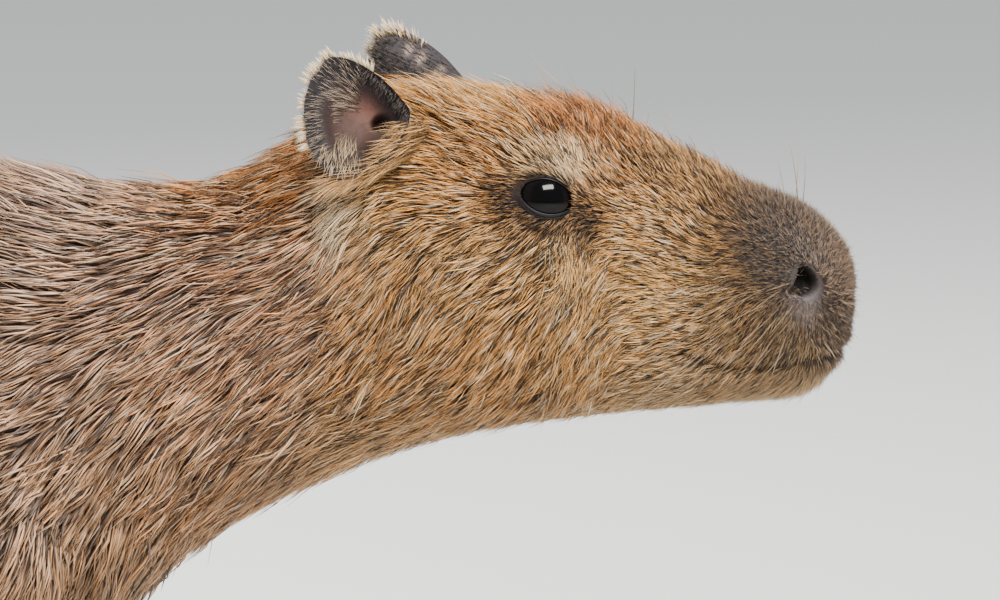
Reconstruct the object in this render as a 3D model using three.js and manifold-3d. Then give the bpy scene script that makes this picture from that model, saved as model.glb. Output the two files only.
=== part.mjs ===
// A standing capybara, half grown, as a still life-size model in closed solids.
// Millimetres, +X towards the nose, +Y to the animal's left, +Z up, floor at z = 0.
// The outlines include the depth of the coat. Profiles run back from the tip of the nose.

import * as THREE from "three";
import { mergeVertices } from "three/addons/utils/BufferGeometryUtils.js";
import Module from "manifold-3d";

const wasm = await Module();
wasm.setup();

// Driving sizes
const bodyLength = 930;
const noseHeight = 389;
const gap = 0.35;
const trunkSides = 32;
const trunkRings = 60;
const eyeRadius = 13.5;
const toeRadius = 8.6;
const clawLength = 17;
const soleFlat = 2.4;

// Smooth curve through [place, value] stations, without overshoot (monotone cubic)
function through(stations) {
  const last = stations.length - 1;
  const slope = (i) => (stations[i + 1][1] - stations[i][1]) / (stations[i + 1][0] - stations[i][0]);
  const tangent = stations.map((_, i) => {
    if (i === 0) return slope(0);
    if (i === last) return slope(last - 1);
    const before = slope(i - 1);
    const after = slope(i);
    return before * after <= 0 ? 0 : (2 * before * after) / (before + after);
  });
  return (x) => {
    if (x <= stations[0][0]) return stations[0][1];
    if (x >= stations[last][0]) return stations[last][1];
    const i = stations.findIndex((s) => s[0] > x) - 1;
    const width = stations[i + 1][0] - stations[i][0];
    const t = (x - stations[i][0]) / width;
    const rise = stations[i + 1][1] - stations[i][1];
    const a = tangent[i] * width - rise;
    const b = rise - tangent[i + 1] * width;
    return stations[i][1] + t * rise + t * (1 - t) * (a * (1 - t) + b * t);
  };
}

// Trunk profiles: distance back from the nose, then height above the nose point or half width
const upperLine = through([
  [0, 40], [37, 44], [65, 54.5], [90, 65.5], [108, 73], [142, 78.5], [175, 83], [200, 80],
  [226, 66], [250, 50], [275, 39], [310, 35], [366, 43], [450, 57], [620, 70], [740, 72], [930, 62],
]);
const lowerLine = through([
  [0, -36], [30, -44], [70, -48], [110, -53], [150, -59], [190, -70], [230, -87], [275, -112],
  [320, -148], [360, -180], [410, -204], [480, -217], [600, -221], [700, -212], [800, -188], [930, -150],
]);
const halfWidth = through([
  [0, 33.5], [30, 35.5], [60, 37], [85, 41], [110, 48], [140, 55], [175, 59.5], [230, 61],
  [275, 68], [315, 82], [355, 97], [410, 107], [500, 116], [620, 121], [720, 118], [820, 106], [930, 90],
]);
const widestHeight = through([
  [0, 3], [60, 0], [120, 4], [180, -2], [230, -20], [300, -50], [380, -85], [500, -98], [750, -88], [930, -50],
]);
const upperSquareness = through([[0, 2.3], [60, 2.45], [120, 2.7], [190, 2.5], [250, 2.15], [930, 2.2]]);
const lowerSquareness = through([[0, 2.5], [80, 2.4], [200, 2.1], [930, 2.2]]);

// Round ends of the trunk: how far each profile has grown to its full size
const roundEnd = (distance, depth, power) =>
  distance >= depth ? 1 : (1 - (1 - Math.max(distance, 0) / depth) ** power) ** (1 / power);
const noseRound = { upper: [40, 1.9], lower: [20, 2.1], side: [26, 2.3] };
const rumpRound = { upper: [170, 2.1], lower: [130, 2.2], side: [120, 2.2] };
const endFactor = (back, key) =>
  roundEnd(back, ...noseRound[key]) * roundEnd(bodyLength - back, ...rumpRound[key]);

// Soft swellings and hollows of the head and back, mirrored on both sides: back, side, height, radius, depth
const swellings = [
  { name: "brow", at: [118, 41, 66], radius: 20, depth: 4.5 },
  { name: "cheek", at: [158, 56, -14], radius: 40, depth: 4 },
  { name: "lip pad", at: [24, 33, -12], radius: 19, depth: 3 },
  { name: "nostril wing", at: [9, 25, 11], radius: 12, depth: 2 },
  { name: "hollow before the eye", at: [84, 40, 30], radius: 22, depth: -3.5 },
  { name: "temple", at: [160, 50, 48], radius: 20, depth: -2.5 },
  { name: "ear root", at: [196, 46, 66], radius: 21, depth: 7 },
];

const point = (back, side, height) =>
  new THREE.Vector3(bodyLength / 2 - back, side, noseHeight + height);

// Closed body: a sphere whose rings are laid out by place(share from pole to pole, angle round)
function laidOut(sides, rings, place) {
  const geometry = new THREE.SphereGeometry(1, sides, rings);
  const uv = geometry.getAttribute("uv");
  const position = geometry.getAttribute("position");
  for (let i = 0; i < position.count; i++) {
    const column = Math.round(i % (sides + 1)) % sides;
    const p = place(1 - uv.getY(i), (column / sides) * 2 * Math.PI);
    position.setXYZ(i, p.x, p.y, p.z);
  }
  return solid(geometry);
}

// A three.js geometry as a manifold solid, facing out
function solid(geometry) {
  const bare = geometry.clone();
  bare.deleteAttribute("normal");
  bare.deleteAttribute("uv");
  const merged = mergeVertices(bare, 1e-3);
  const corners = Array.from(merged.index.array);
  const triangles = [];
  for (let i = 0; i < corners.length; i += 3) {
    const [a, b, c] = corners.slice(i, i + 3);
    if (a !== b && b !== c && a !== c) triangles.push(a, b, c);
  }
  const vertProperties = merged.getAttribute("position").array;
  const make = (triVerts) =>
    new wasm.Manifold(new wasm.Mesh({ numProp: 3, vertProperties, triVerts: Uint32Array.from(triVerts) }));
  const made = make(triangles);
  if (made.volume() > 0) return made;
  const turned = [];
  for (let i = 0; i < triangles.length; i += 3) turned.push(triangles[i], triangles[i + 2], triangles[i + 1]);
  return make(turned);
}

const joined = (solids) => solids.reduce((all, next) => all.add(next));
const largest = (made) =>
  made.decompose().reduce((best, next) => (next.volume() > best.volume() ? next : best));

// The ring places of the trunk: closer together on the head and at the round ends
const ringBack = through([
  [0, 0], [0.02, 0.6], [0.06, 4.5], [0.13, 18], [0.5, 222], [0.61, 306], [0.88, 800], [0.95, 895], [0.98, 922],
  [1, bodyLength],
]);

function trunkPoint(share, angle, grow) {
  const back = share === 0 ? 0 : share === 1 ? bodyLength : ringBack(share);
  const up = Math.sin(angle);
  const out = Math.cos(angle);
  const middle = widestHeight(back);
  const key = up > 0 ? "upper" : "lower";
  const power = 2 / (up > 0 ? upperSquareness(back) : lowerSquareness(back));
  const reach = (up > 0 ? upperLine(back) - middle : middle - lowerLine(back)) * endFactor(back, key);
  const width = halfWidth(back) * endFactor(back, "side");
  const open = share === 0 || share === 1 ? 0 : 1;
  const side = Math.sign(out) * Math.abs(out) ** power * (width + grow) * open;
  const height = middle + Math.sign(up) * Math.abs(up) ** power * (reach + grow) * open;
  return swelled(back, side, height);
}

// Moves a skin point outwards by the swellings near it
function swelled(back, side, height) {
  const outward = new THREE.Vector2(side, height - widestHeight(back)).normalize();
  let push = 0;
  for (const { at, radius, depth } of swellings) {
    const d2 = (back - at[0]) ** 2 + (Math.abs(side) - at[1]) ** 2 + (height - at[2]) ** 2;
    push += depth * Math.exp(-d2 / (radius * radius));
  }
  return point(back, side + outward.x * push, height + outward.y * push);
}

const trunkShape = (grow = 0) =>
  laidOut(trunkSides, trunkRings, (share, angle) => trunkPoint(share, angle, grow));

// A limb: a round body along a smooth path, with a fore-and-aft and a sideways radius at each share of it
function limb({ path, girth, sides = 16, rings = 16, across = [0, 1, 0] }, grow = 0) {
  const curve = new THREE.CatmullRomCurve3(path.map((p) => new THREE.Vector3(...p)));
  const fore = through(girth.map(([share, radius]) => [share, radius]));
  const wide = through(girth.map(([share, , radius]) => [share, radius]));
  const sideways = new THREE.Vector3(...across).normalize();
  return laidOut(sides, rings, (share, angle) => {
    const eased = 0.5 - 0.5 * Math.cos(Math.PI * share);
    const along = 0.35 * eased + 0.65 * share;
    const tangent = curve.getTangent(along);
    const forward = new THREE.Vector3().crossVectors(sideways, tangent).normalize();
    const right = new THREE.Vector3().crossVectors(tangent, forward).normalize();
    const cap = Math.min(1, roundEnd(along, 0.12, 2)) * Math.min(1, roundEnd(1 - along, 0.12, 2));
    const open = share === 0 || share === 1 ? 0 : 1;
    return curve
      .getPoint(along)
      .addScaledVector(forward, Math.cos(angle) * (fore(along) * cap + grow) * open)
      .addScaledVector(right, Math.sin(angle) * (wide(along) * cap + grow) * open);
  });
}

// Legs: each place is forward, sideways from the midline and up, in the part's frame
const foreLeg = (side, shift) => ({
  path: [
    [84, side * 56, 366], [98, side * 68, 300], [80, side * 82, 226], [82 + shift / 2, side * 82, 152],
    [90 + shift, side * 80, 92], [97 + shift, side * 80, 44], [112 + shift, side * 80, 10],
  ],
  girth: [[0, 38, 26], [0.15, 52, 36], [0.34, 48, 33], [0.5, 31, 26], [0.68, 21, 20], [0.84, 19, 21], [1, 20, 28]],
  sides: 16,
  rings: 17,
});
const hindLeg = (side, shift) => ({
  path: [
    [-326, side * 56, 362], [-306, side * 76, 296], [-282 + shift / 3, side * 88, 228],
    [-326 + shift, side * 87, 164], [-364 + shift, side * 84, 112], [-350 + shift, side * 84, 68],
    [-322 + shift, side * 84, 28], [-280 + shift, side * 84, 9],
  ],
  girth: [
    [0, 66, 40], [0.14, 88, 42], [0.29, 72, 38], [0.43, 44, 30], [0.57, 26, 21], [0.72, 20, 20],
    [0.86, 20, 26], [1, 17, 30],
  ],
  sides: 16,
  rings: 22,
});

// Toes fan out from the ball of the foot; the outer ones are shorter
const toePlaces = {
  fore: { ball: [106, 0, 12], count: 4, fan: 0.26, length: 33, outer: 0.8 },
  hind: { ball: [-292, 0, 12], count: 3, fan: 0.27, length: 42, outer: 0.86 },
};
function toes(kind, side, shift) {
  const { ball, count, fan, length, outer } = toePlaces[kind];
  const middle = (count - 1) / 2;
  const across = kind === "fore" ? 80 : 84;
  return Array.from({ length: count }, (_, i) => {
    const turn = (i - middle) * fan;
    const reach = length * (Math.abs(i - middle) > count / 2 - 0.9 ? outer : 1);
    const ahead = new THREE.Vector3(Math.cos(turn), side * Math.sin(turn), 0);
    const root = new THREE.Vector3(ball[0] + shift, side * (across + (i - middle) * 12.5), ball[2]);
    const tip = root.clone().addScaledVector(ahead, reach).setZ(5.6);
    const bend = root.clone().lerp(tip, 0.55).setZ(11.5);
    return {
      ahead,
      tip,
      toe: {
        path: [root, bend, tip].map((p) => p.toArray()),
        girth: [[0, 12, 10], [0.5, toeRadius, toeRadius], [1, toeRadius - 1, toeRadius - 0.6]],
        sides: 9,
        rings: 7,
        across: [-ahead.y, ahead.x, 0],
      },
    };
  });
}

// A claw: a blunt, slightly curved nail that leaves the toe's tip
function claw({ ahead, tip }) {
  const start = tip.clone().addScaledVector(ahead, -3).setZ(9.5);
  const path = [
    start, start.clone().addScaledVector(ahead, clawLength * 0.6).setZ(8.6),
    start.clone().addScaledVector(ahead, clawLength).setZ(4.2),
  ];
  return {
    path: path.map((p) => p.toArray()),
    girth: [[0, 5, 5.4], [0.5, 4, 4.8], [1, 1.6, 2.6]],
    sides: 7,
    rings: 5,
    across: [-ahead.y, ahead.x, 0],
  };
}

// Regions that part a leg from the trunk: fat, nearly straight bodies round the whole leg
const foreRegion = (side, shift) => ({
  path: [
    [92, side * 88, 376], [94, side * 92, 300], [86, side * 90, 225], [88 + shift / 2, side * 86, 150],
    [98 + shift, side * 82, 60], [100 + shift, side * 82, -60],
  ],
  girth: [[0, 50, 40], [0.2, 66, 46], [0.4, 62, 44], [0.6, 48, 42], [0.8, 48, 44], [1, 60, 50]],
  sides: 16,
  rings: 12,
});
const hindRegion = (side, shift) => ({
  path: [
    [-312, side * 96, 404], [-308, side * 98, 300], [-312 + shift / 3, side * 94, 210],
    [-330 + shift, side * 88, 110], [-325 + shift, side * 86, -60],
  ],
  girth: [[0, 84, 50], [0.25, 104, 56], [0.5, 98, 54], [0.75, 88, 46], [1, 90, 46]],
  sides: 16,
  rings: 12,
});

// Thin or thick flat cutters
function slab(centre, normal, size, thick) {
  const geometry = new THREE.BoxGeometry(size, size, thick);
  const turn = new THREE.Quaternion().setFromUnitVectors(
    new THREE.Vector3(0, 0, 1),
    new THREE.Vector3(...normal).normalize(),
  );
  geometry.applyQuaternion(turn);
  geometry.translate(...centre);
  return solid(geometry);
}
const halfSpace = (centre, normal) => {
  const size = 1400;
  const n = new THREE.Vector3(...normal).normalize();
  const middle = new THREE.Vector3(...centre).addScaledVector(n, size / 2);
  return slab(middle.toArray(), normal, size, size);
};
const aboveFloor = (made) => made.subtract(halfSpace([0, 0, soleFlat], [0, 0, -1]));

// The four legs: name, side (+1 left) and how far forward of square the foot is set
const legs = [
  { name: "left", side: 1, fore: -14, hind: 16 },
  { name: "right", side: -1, fore: 14, hind: -14 },
];

const nodes = [];
const addNode = (name, made, look) => nodes.push({ name, made, look });

// Trunk and upper legs as one whole, then parted
let whole = trunkShape();
const legWholes = [];
for (const leg of legs) {
  for (const kind of ["fore", "hind"]) {
    const shift = leg[kind];
    const shape = limb((kind === "fore" ? foreLeg : hindLeg)(leg.side, shift));
    const region = (kind === "fore" ? foreRegion : hindRegion)(leg.side, shift);
    const ends = toes(kind, leg.side, shift);
    whole = whole.add(shape);
    legWholes.push({ kind, leg, shift, shape, region, ends });
  }
}
for (const { kind, leg, shift, shape, region, ends } of legWholes) {
  const legWhole = whole.intersect(limb(region));
  whole = whole.subtract(limb(region, gap));
  const cutAt = kind === "fore" ? [92 + shift, 0, 72] : [-364 + shift, 0, 104];
  const cutNormal = kind === "fore" ? [0.12, 0, 1] : [-0.3, 0, 1];
  const lower = [cutAt[0], 0, cutAt[2] - gap];
  const legPart = largest(legWhole.subtract(halfSpace(cutAt, cutNormal.map((v) => -v))));
  const footWhole = joined([shape, ...ends.map((end) => limb(end.toe))]);
  const footPart = largest(aboveFloor(footWhole.subtract(halfSpace(lower, cutNormal))));
  addNode(`${kind}_leg_${leg.name}`, legPart, "coat");
  addNode(`${kind}_foot_${leg.name}`, footPart, "coat");
  ends.forEach((end, i) => {
    const nail = aboveFloor(limb(claw(end)).translate([0, 0, soleFlat])).subtract(limb(end.toe, gap));
    addNode(`${kind}_claw_${leg.name}_${i + 1}`, largest(nail), "claw");
  });
}

// Head, neck and torso, parted by two leaning planes
const neckFront = { at: point(226, 0, 0), lean: [1, 0, 0.34] };
const neckRear = { at: point(312, 0, -40), lean: [1, 0, 0.4] };
const ahead = ({ at, lean }) => halfSpace(at.toArray(), lean);
const behind = ({ at, lean }) =>
  halfSpace(
    at.clone().addScaledVector(new THREE.Vector3(...lean).normalize(), -gap).toArray(),
    lean.map((v) => -v),
  );
let head = largest(whole.intersect(ahead(neckFront)));
const neck = largest(whole.intersect(behind(neckFront)).intersect(ahead(neckRear)));
const torso = largest(whole.intersect(behind(neckRear)));

// Eyes: a ball in a socket, with lids left round an almond-shaped opening
const eyeAt = { back: 122.5, side: 38, height: 42 };
const eyeLook = (side) => new THREE.Vector3(0.22, side * 0.94, 0.2).normalize();
const ball = (centre, radius, sides = 16) =>
  solid(new THREE.SphereGeometry(radius, sides, Math.round(sides * 0.7)).translate(...centre.toArray()));
function almond(side) {
  const outline = new THREE.Shape();
  outline.moveTo(-12.2, 0);
  outline.bezierCurveTo(-8, 8, 5, 10, 12.2, 0);
  outline.bezierCurveTo(7, -9.5, -6, -9.5, -12.2, 0);
  const geometry = new THREE.ExtrudeGeometry(outline, { depth: 22, bevelEnabled: false, curveSegments: 7 });
  const look = eyeLook(side);
  const fore = new THREE.Vector3(1, 0, -0.2).addScaledVector(look, -look.dot(new THREE.Vector3(1, 0, -0.2)));
  fore.normalize();
  const up = new THREE.Vector3().crossVectors(look, fore).multiplyScalar(side < 0 ? -1 : 1);
  if (up.z < 0) up.negate();
  const frame = new THREE.Matrix4().makeBasis(fore, up, look);
  frame.setPosition(point(eyeAt.back, side * eyeAt.side, eyeAt.height).addScaledVector(look, 2));
  geometry.applyMatrix4(frame);
  return solid(geometry);
}

// Nostril, mouth line and the cleft under the nose
function nostril(side) {
  const path = [
    point(8, side * 36, 20), point(11, side * 30, 12), point(17, side * 25, 6), point(22, side * 16, 8),
  ];
  return limb({
    path: path.map((p) => p.toArray()),
    girth: [[0, 3, 4], [0.35, 5, 4.6], [0.7, 4.6, 4.6], [1, 3.4, 3.4]],
    sides: 9,
    rings: 8,
  });
}
const mouthLine = through([[0, -22], [14, -23], [34, -26], [52, -25], [66, -18]]);
const mouthCorner = 64;
function mouthCut(thick, deep, side) {
  const steps = 8;
  const rows = [];
  for (let i = 0; i <= steps; i++) rows.push(-4 + (mouthCorner + 4) * (i / steps));
  const outline = new THREE.Shape();
  const high = rows.map((b) => [bodyLength / 2 - b, noseHeight + mouthLine(b) + thick * (1 - (b / mouthCorner) ** 4)]);
  const low = rows.map((b) => [bodyLength / 2 - b, noseHeight + mouthLine(b) - thick]).reverse();
  [...high, ...low].forEach(([x, z], i) => (i ? outline.lineTo(x, z) : outline.moveTo(x, z)));
  const geometry = new THREE.ExtrudeGeometry(outline, { depth: deep, bevelEnabled: false });
  geometry.rotateX(Math.PI / 2);
  geometry.translate(0, side, 0);
  return solid(geometry);
}

// The mouth is a groove that follows the surface: the head less a head shrunk by the groove's depth
const lipDepth = 4;
const inside = trunkShape(-lipDepth);
const groove = mouthCut(0.9, 160, 80).subtract(inside);
const cleft = solid(new THREE.BoxGeometry(6, 1.4, 20).translate(bodyLength / 2 - 1, 0, noseHeight - 12));
head = head.subtract(groove).subtract(cleft);
for (const { name, side } of legs) {
  const centre = point(eyeAt.back, side * eyeAt.side, eyeAt.height);
  const lidDome = ball(centre, eyeRadius + 2.4, 18);
  const opening = almond(side);
  head = head.add(lidDome.intersect(trunkShape(3.4)));
  head = head.subtract(ball(centre, eyeRadius + gap, 16)).subtract(opening).subtract(nostril(side));
  addNode(`eye_${name}`, ball(centre, eyeRadius, 16), "eye");
}
head = largest(head);

// Ears: a cup on the crown, its outline as forward and up from the middle, with the front rim folded over
const earOutline = [
  [23, 0], [20.5, 8], [13.5, 17], [3, 24.5], [-8, 27], [-16, 21], [-21.5, 10], [-23, -4], [-20, -16],
  [-12, -25], [2, -23], [15, -14],
];
const earThickness = 2.8;
const earCup = 14;
const earLook = (side) => new THREE.Vector3(0.3, side * 0.85, 0.4).normalize();
const earRim = new THREE.CatmullRomCurve3(earOutline.map(([x, y]) => new THREE.Vector3(x, y, 0)), true);
function earBody(side) {
  const look = earLook(side);
  const lean = new THREE.Vector3(-0.06, 0, 1);
  const up = lean.addScaledVector(look, -look.dot(lean)).normalize();
  const fore = new THREE.Vector3().crossVectors(up, look);
  if (fore.x < 0) fore.negate();
  const centre = point(198, side * 55, 76);
  return laidOut(24, 14, (share, angle) => {
    const face = share < 0.5 ? 1 : -1;
    const r = Math.sin(Math.PI * share) ** 0.8;
    const rim = earRim.getPoint(angle / (2 * Math.PI));
    const frontTop = Math.max(0, Math.cos(angle - 0.75));
    const bowl = -earCup * (1 - r ** 2.2);
    const fold = 6 * frontTop * r ** 5;
    const half = (earThickness / 2) * Math.sqrt(Math.max(0, 1 - r ** 5));
    return centre
      .clone()
      .addScaledVector(fore, rim.x * r - fold * 0.5)
      .addScaledVector(up, rim.y * r - fold * 0.4)
      .addScaledVector(look, bowl + fold * 0.7 + face * half);
  });
}
for (const { name, side } of legs) {
  const canal = limb({
    path: [
      point(191, side * 62, 73).toArray(), point(192, side * 48, 70).toArray(), point(194, side * 36, 64).toArray(),
    ],
    girth: [[0, 5, 5], [0.5, 5, 5], [1, 3.5, 3.5]],
    sides: 8,
    rings: 6,
    across: [0, 0, 1],
  });
  const ear = earBody(side);
  addNode(`ear_${name}`, largest(ear.subtract(trunkShape(gap))), "ear");
  head = head.subtract(canal);
}
head = largest(head);

// The tail is only a stub under the coat of the rump
const stubPlace = point(914, 0, -22).toArray();
const stub = solid(new THREE.SphereGeometry(13, 12, 8).scale(1.2, 0.9, 0.9).translate(...stubPlace));
addNode("tail_stub", largest(stub.subtract(trunkShape(gap))), "coat");
addNode("head", head, "coat");
addNode("neck", neck, "coat");
addNode("torso", torso, "coat");

// Finishes
const looks = {
  coat: new THREE.MeshStandardMaterial({ color: 0x9a6f43, roughness: 0.85 }),
  ear: new THREE.MeshStandardMaterial({ color: 0x4a4040, roughness: 0.7 }),
  eye: new THREE.MeshStandardMaterial({ color: 0x140c08, roughness: 0.08 }),
  claw: new THREE.MeshStandardMaterial({ color: 0x3a322c, roughness: 0.5 }),
};

function meshOf({ name, made, look }) {
  const { vertProperties, triVerts, numProp } = made.getMesh();
  const places = new Float32Array((vertProperties.length / numProp) * 3);
  for (let i = 0; i < places.length / 3; i++) places.set(vertProperties.subarray(i * numProp, i * numProp + 3), i * 3);
  const geometry = new THREE.BufferGeometry();
  geometry.setAttribute("position", new THREE.BufferAttribute(places, 3));
  geometry.setIndex(new THREE.BufferAttribute(triVerts, 1));
  geometry.computeVertexNormals();
  const mesh = new THREE.Mesh(geometry, looks[look]);
  mesh.name = name;
  return mesh;
}

const capybara = new THREE.Group();
nodes.forEach((node) => capybara.add(meshOf(node)));

// The origin is the middle of the footprint, on the floor
const box = new THREE.Box3().setFromObject(capybara);
const middle = box.getCenter(new THREE.Vector3());
capybara.position.set(-middle.x, -middle.y, -box.min.z);

export default capybara;
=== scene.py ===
"""A half-grown capybara that stands still: skin, coat, eyes, ears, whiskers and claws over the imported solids."""

import math

import bmesh
import bpy
import numpy as np
from mathutils import Matrix, Vector
from mathutils.kdtree import KDTree


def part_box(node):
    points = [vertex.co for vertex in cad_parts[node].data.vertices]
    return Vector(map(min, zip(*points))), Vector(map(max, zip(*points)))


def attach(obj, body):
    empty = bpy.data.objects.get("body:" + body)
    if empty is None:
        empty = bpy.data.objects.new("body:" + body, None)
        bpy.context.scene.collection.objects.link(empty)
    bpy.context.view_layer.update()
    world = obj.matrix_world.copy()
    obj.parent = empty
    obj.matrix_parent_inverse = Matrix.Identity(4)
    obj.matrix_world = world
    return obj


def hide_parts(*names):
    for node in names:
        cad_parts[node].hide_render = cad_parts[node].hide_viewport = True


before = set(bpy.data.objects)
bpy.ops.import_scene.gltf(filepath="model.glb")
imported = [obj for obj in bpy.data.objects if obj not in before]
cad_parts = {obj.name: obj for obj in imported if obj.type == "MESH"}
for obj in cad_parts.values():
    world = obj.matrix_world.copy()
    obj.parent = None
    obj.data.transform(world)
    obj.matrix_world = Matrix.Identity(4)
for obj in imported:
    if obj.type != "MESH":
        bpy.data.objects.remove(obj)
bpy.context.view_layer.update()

MM = 0.001
NOSE = Vector((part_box("head")[1].x, 0.0, 0.3866))
SIDES = {"left": 1, "right": -1}


def place(back, side, height):
    """A point given in millimetres back from the nose tip, sideways, and above the nose tip."""
    return Vector((NOSE.x - back * MM, side * MM, NOSE.z + height * MM))


def from_nose(points):
    """Back, sideways (either side alike) and height from the nose tip, in millimetres."""
    away = (points - np.array(NOSE)) / MM
    return np.stack([-away[:, 0], np.abs(away[:, 1]), away[:, 2]], axis=1)


def unit(vectors):
    return vectors / np.maximum(np.linalg.norm(vectors, axis=-1, keepdims=True), 1e-9)


def arrays(vectors):
    return [np.array(vector) for vector in vectors]


def blend(tint, other, share):
    return tint * (1 - share) + np.array(other) * share


def fading(away, reach):
    """1 at no distance and near 0 beyond the reach in mm, as a column."""
    return np.exp(-((np.linalg.norm(away, axis=1) / (reach * MM)) ** 2))[:, None]


def show(name, data):
    """Puts a mesh, light or camera in the scene."""
    shown = bpy.data.objects.new(name, data)
    bpy.context.scene.collection.objects.link(shown)
    return shown


def tree_of(points):
    tree = KDTree(len(points))
    for index, spot in enumerate(points):
        tree.insert(spot, index)
    tree.balance()
    return tree


# Camera: the photograph's angle and framing, from the animal's right and a little above
def add_camera():
    turn, rise, distance = math.radians(12.5), math.radians(9), 3.5
    aim = place(150.6, 0, -7.3)
    back = Vector((math.sin(turn) * math.cos(rise), -math.cos(turn) * math.cos(rise), math.sin(rise)))
    camera = show("camera", bpy.data.cameras.new("camera"))
    camera.location = aim + back * distance
    camera.rotation_euler = (-back).to_track_quat("-Z", "Y").to_euler()
    camera.data.sensor_width = 36
    camera.data.lens = 300
    bpy.context.scene.camera = camera


def add_light(name, spot, aim, size, power, colour=(1, 1, 1), mirrored=False):
    light = bpy.data.lights.new(name, "AREA")
    light.shape = "RECTANGLE"
    light.size, light.size_y = size, size * 0.45
    light.energy = power
    light.color = colour
    lamp = show(name, light)
    lamp.location = spot
    lamp.visible_glossy = mirrored
    lamp.rotation_euler = (Vector(spot) - Vector(aim)).to_track_quat("Z", "Y").to_euler()


def add_studio():
    floor_bm = bmesh.new()
    bmesh.ops.create_grid(floor_bm, x_segments=1, y_segments=1, size=30)
    floor = finish_piece("studio_floor", floor_bm, plain_finish("pale_floor", (0.72, 0.72, 0.70), 0.9))
    world = bpy.data.worlds.new("studio")
    world.use_nodes = True
    sky = world.node_tree.nodes["Background"].inputs
    sky["Color"].default_value = (0.86, 0.90, 0.95, 1)
    sky["Strength"].default_value = 0.72
    bpy.context.scene.world = world
    add_light("key", (0.9, -1.5, 2.3), (0.2, 0, 0.3), 1.5, 245, (1.0, 0.97, 0.92), True)
    add_light("fill", (1.8, -1.6, 0.8), (0.2, 0, 0.3), 1.6, 22, (0.95, 0.97, 1.0))
    add_light("rim", (-0.9, 1.7, 1.7), (0.1, 0, 0.35), 1.2, 70)


# Finishes
def new_finish(name, roughness, specular=0.5):
    material = bpy.data.materials.new(name)
    material.use_nodes = True
    shader = material.node_tree.nodes["Principled BSDF"]
    shader.inputs["Roughness"].default_value = roughness
    shader.inputs["Specular IOR Level"].default_value = specular
    return material, material.node_tree, shader


def new_node(tree, kind, **inputs):
    node = tree.nodes.new(f"ShaderNode{kind}")
    for key, value in inputs.items():
        node.inputs[key.replace("_", " ")].default_value = value
    return node


def wire(tree, *links):
    """Joins nodes. Each link is a node, its output, the next node and the input there."""
    for start, output, end, into in links:
        tree.links.new(start.outputs[output], end.inputs[into])


def plain_finish(name, colour, roughness, specular=0.5):
    material, _, shader = new_finish(name, roughness, specular)
    shader.inputs["Base Color"].default_value = (*colour, 1)
    return material


def tinted_finish(name, roughness, specular, grain, bump, spread=0.25):
    """The piece's own tint, broken by a fine grain that also lifts its surface."""
    material, tree, shader = new_finish(name, roughness, specular)
    tint = new_node(tree, "Attribute")
    tint.attribute_name = "tint"
    coords = new_node(tree, "TexCoord")
    noise = new_node(tree, "TexNoise", Scale=grain, Detail=4)
    shade = new_node(tree, "MapRange", To_Min=1 - spread, To_Max=1 + spread)
    mixed = new_node(tree, "VectorMath")
    mixed.operation = "SCALE"
    wire(
        tree,
        (coords, "Object", noise, "Vector"),
        (noise, "Fac", shade, "Value"),
        (tint, "Color", mixed, "Vector"),
        (shade, "Result", mixed, "Scale"),
        (mixed, "Vector", shader, "Base Color"),
    )
    if bump:
        lift = new_node(tree, "Bump", Strength=bump, Distance=0.6 * MM)
        wire(tree, (noise, "Fac", lift, "Height"), (lift, "Normal", shader, "Normal"))
    return material


def finish_piece(name, bm, material):
    """Turns a bmesh into a smooth-shaded object at the origin."""
    mesh = bpy.data.meshes.new(name)
    bm.to_mesh(mesh)
    bm.free()
    mesh.shade_smooth()
    mesh.materials.append(material)
    return show(name, mesh)


def settle(piece, slot, *nodes):
    """Makes a piece ride on the animal and stands it in for its solids; its slot is not used."""
    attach(piece, "root")
    if nodes:
        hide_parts(*nodes)


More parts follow.
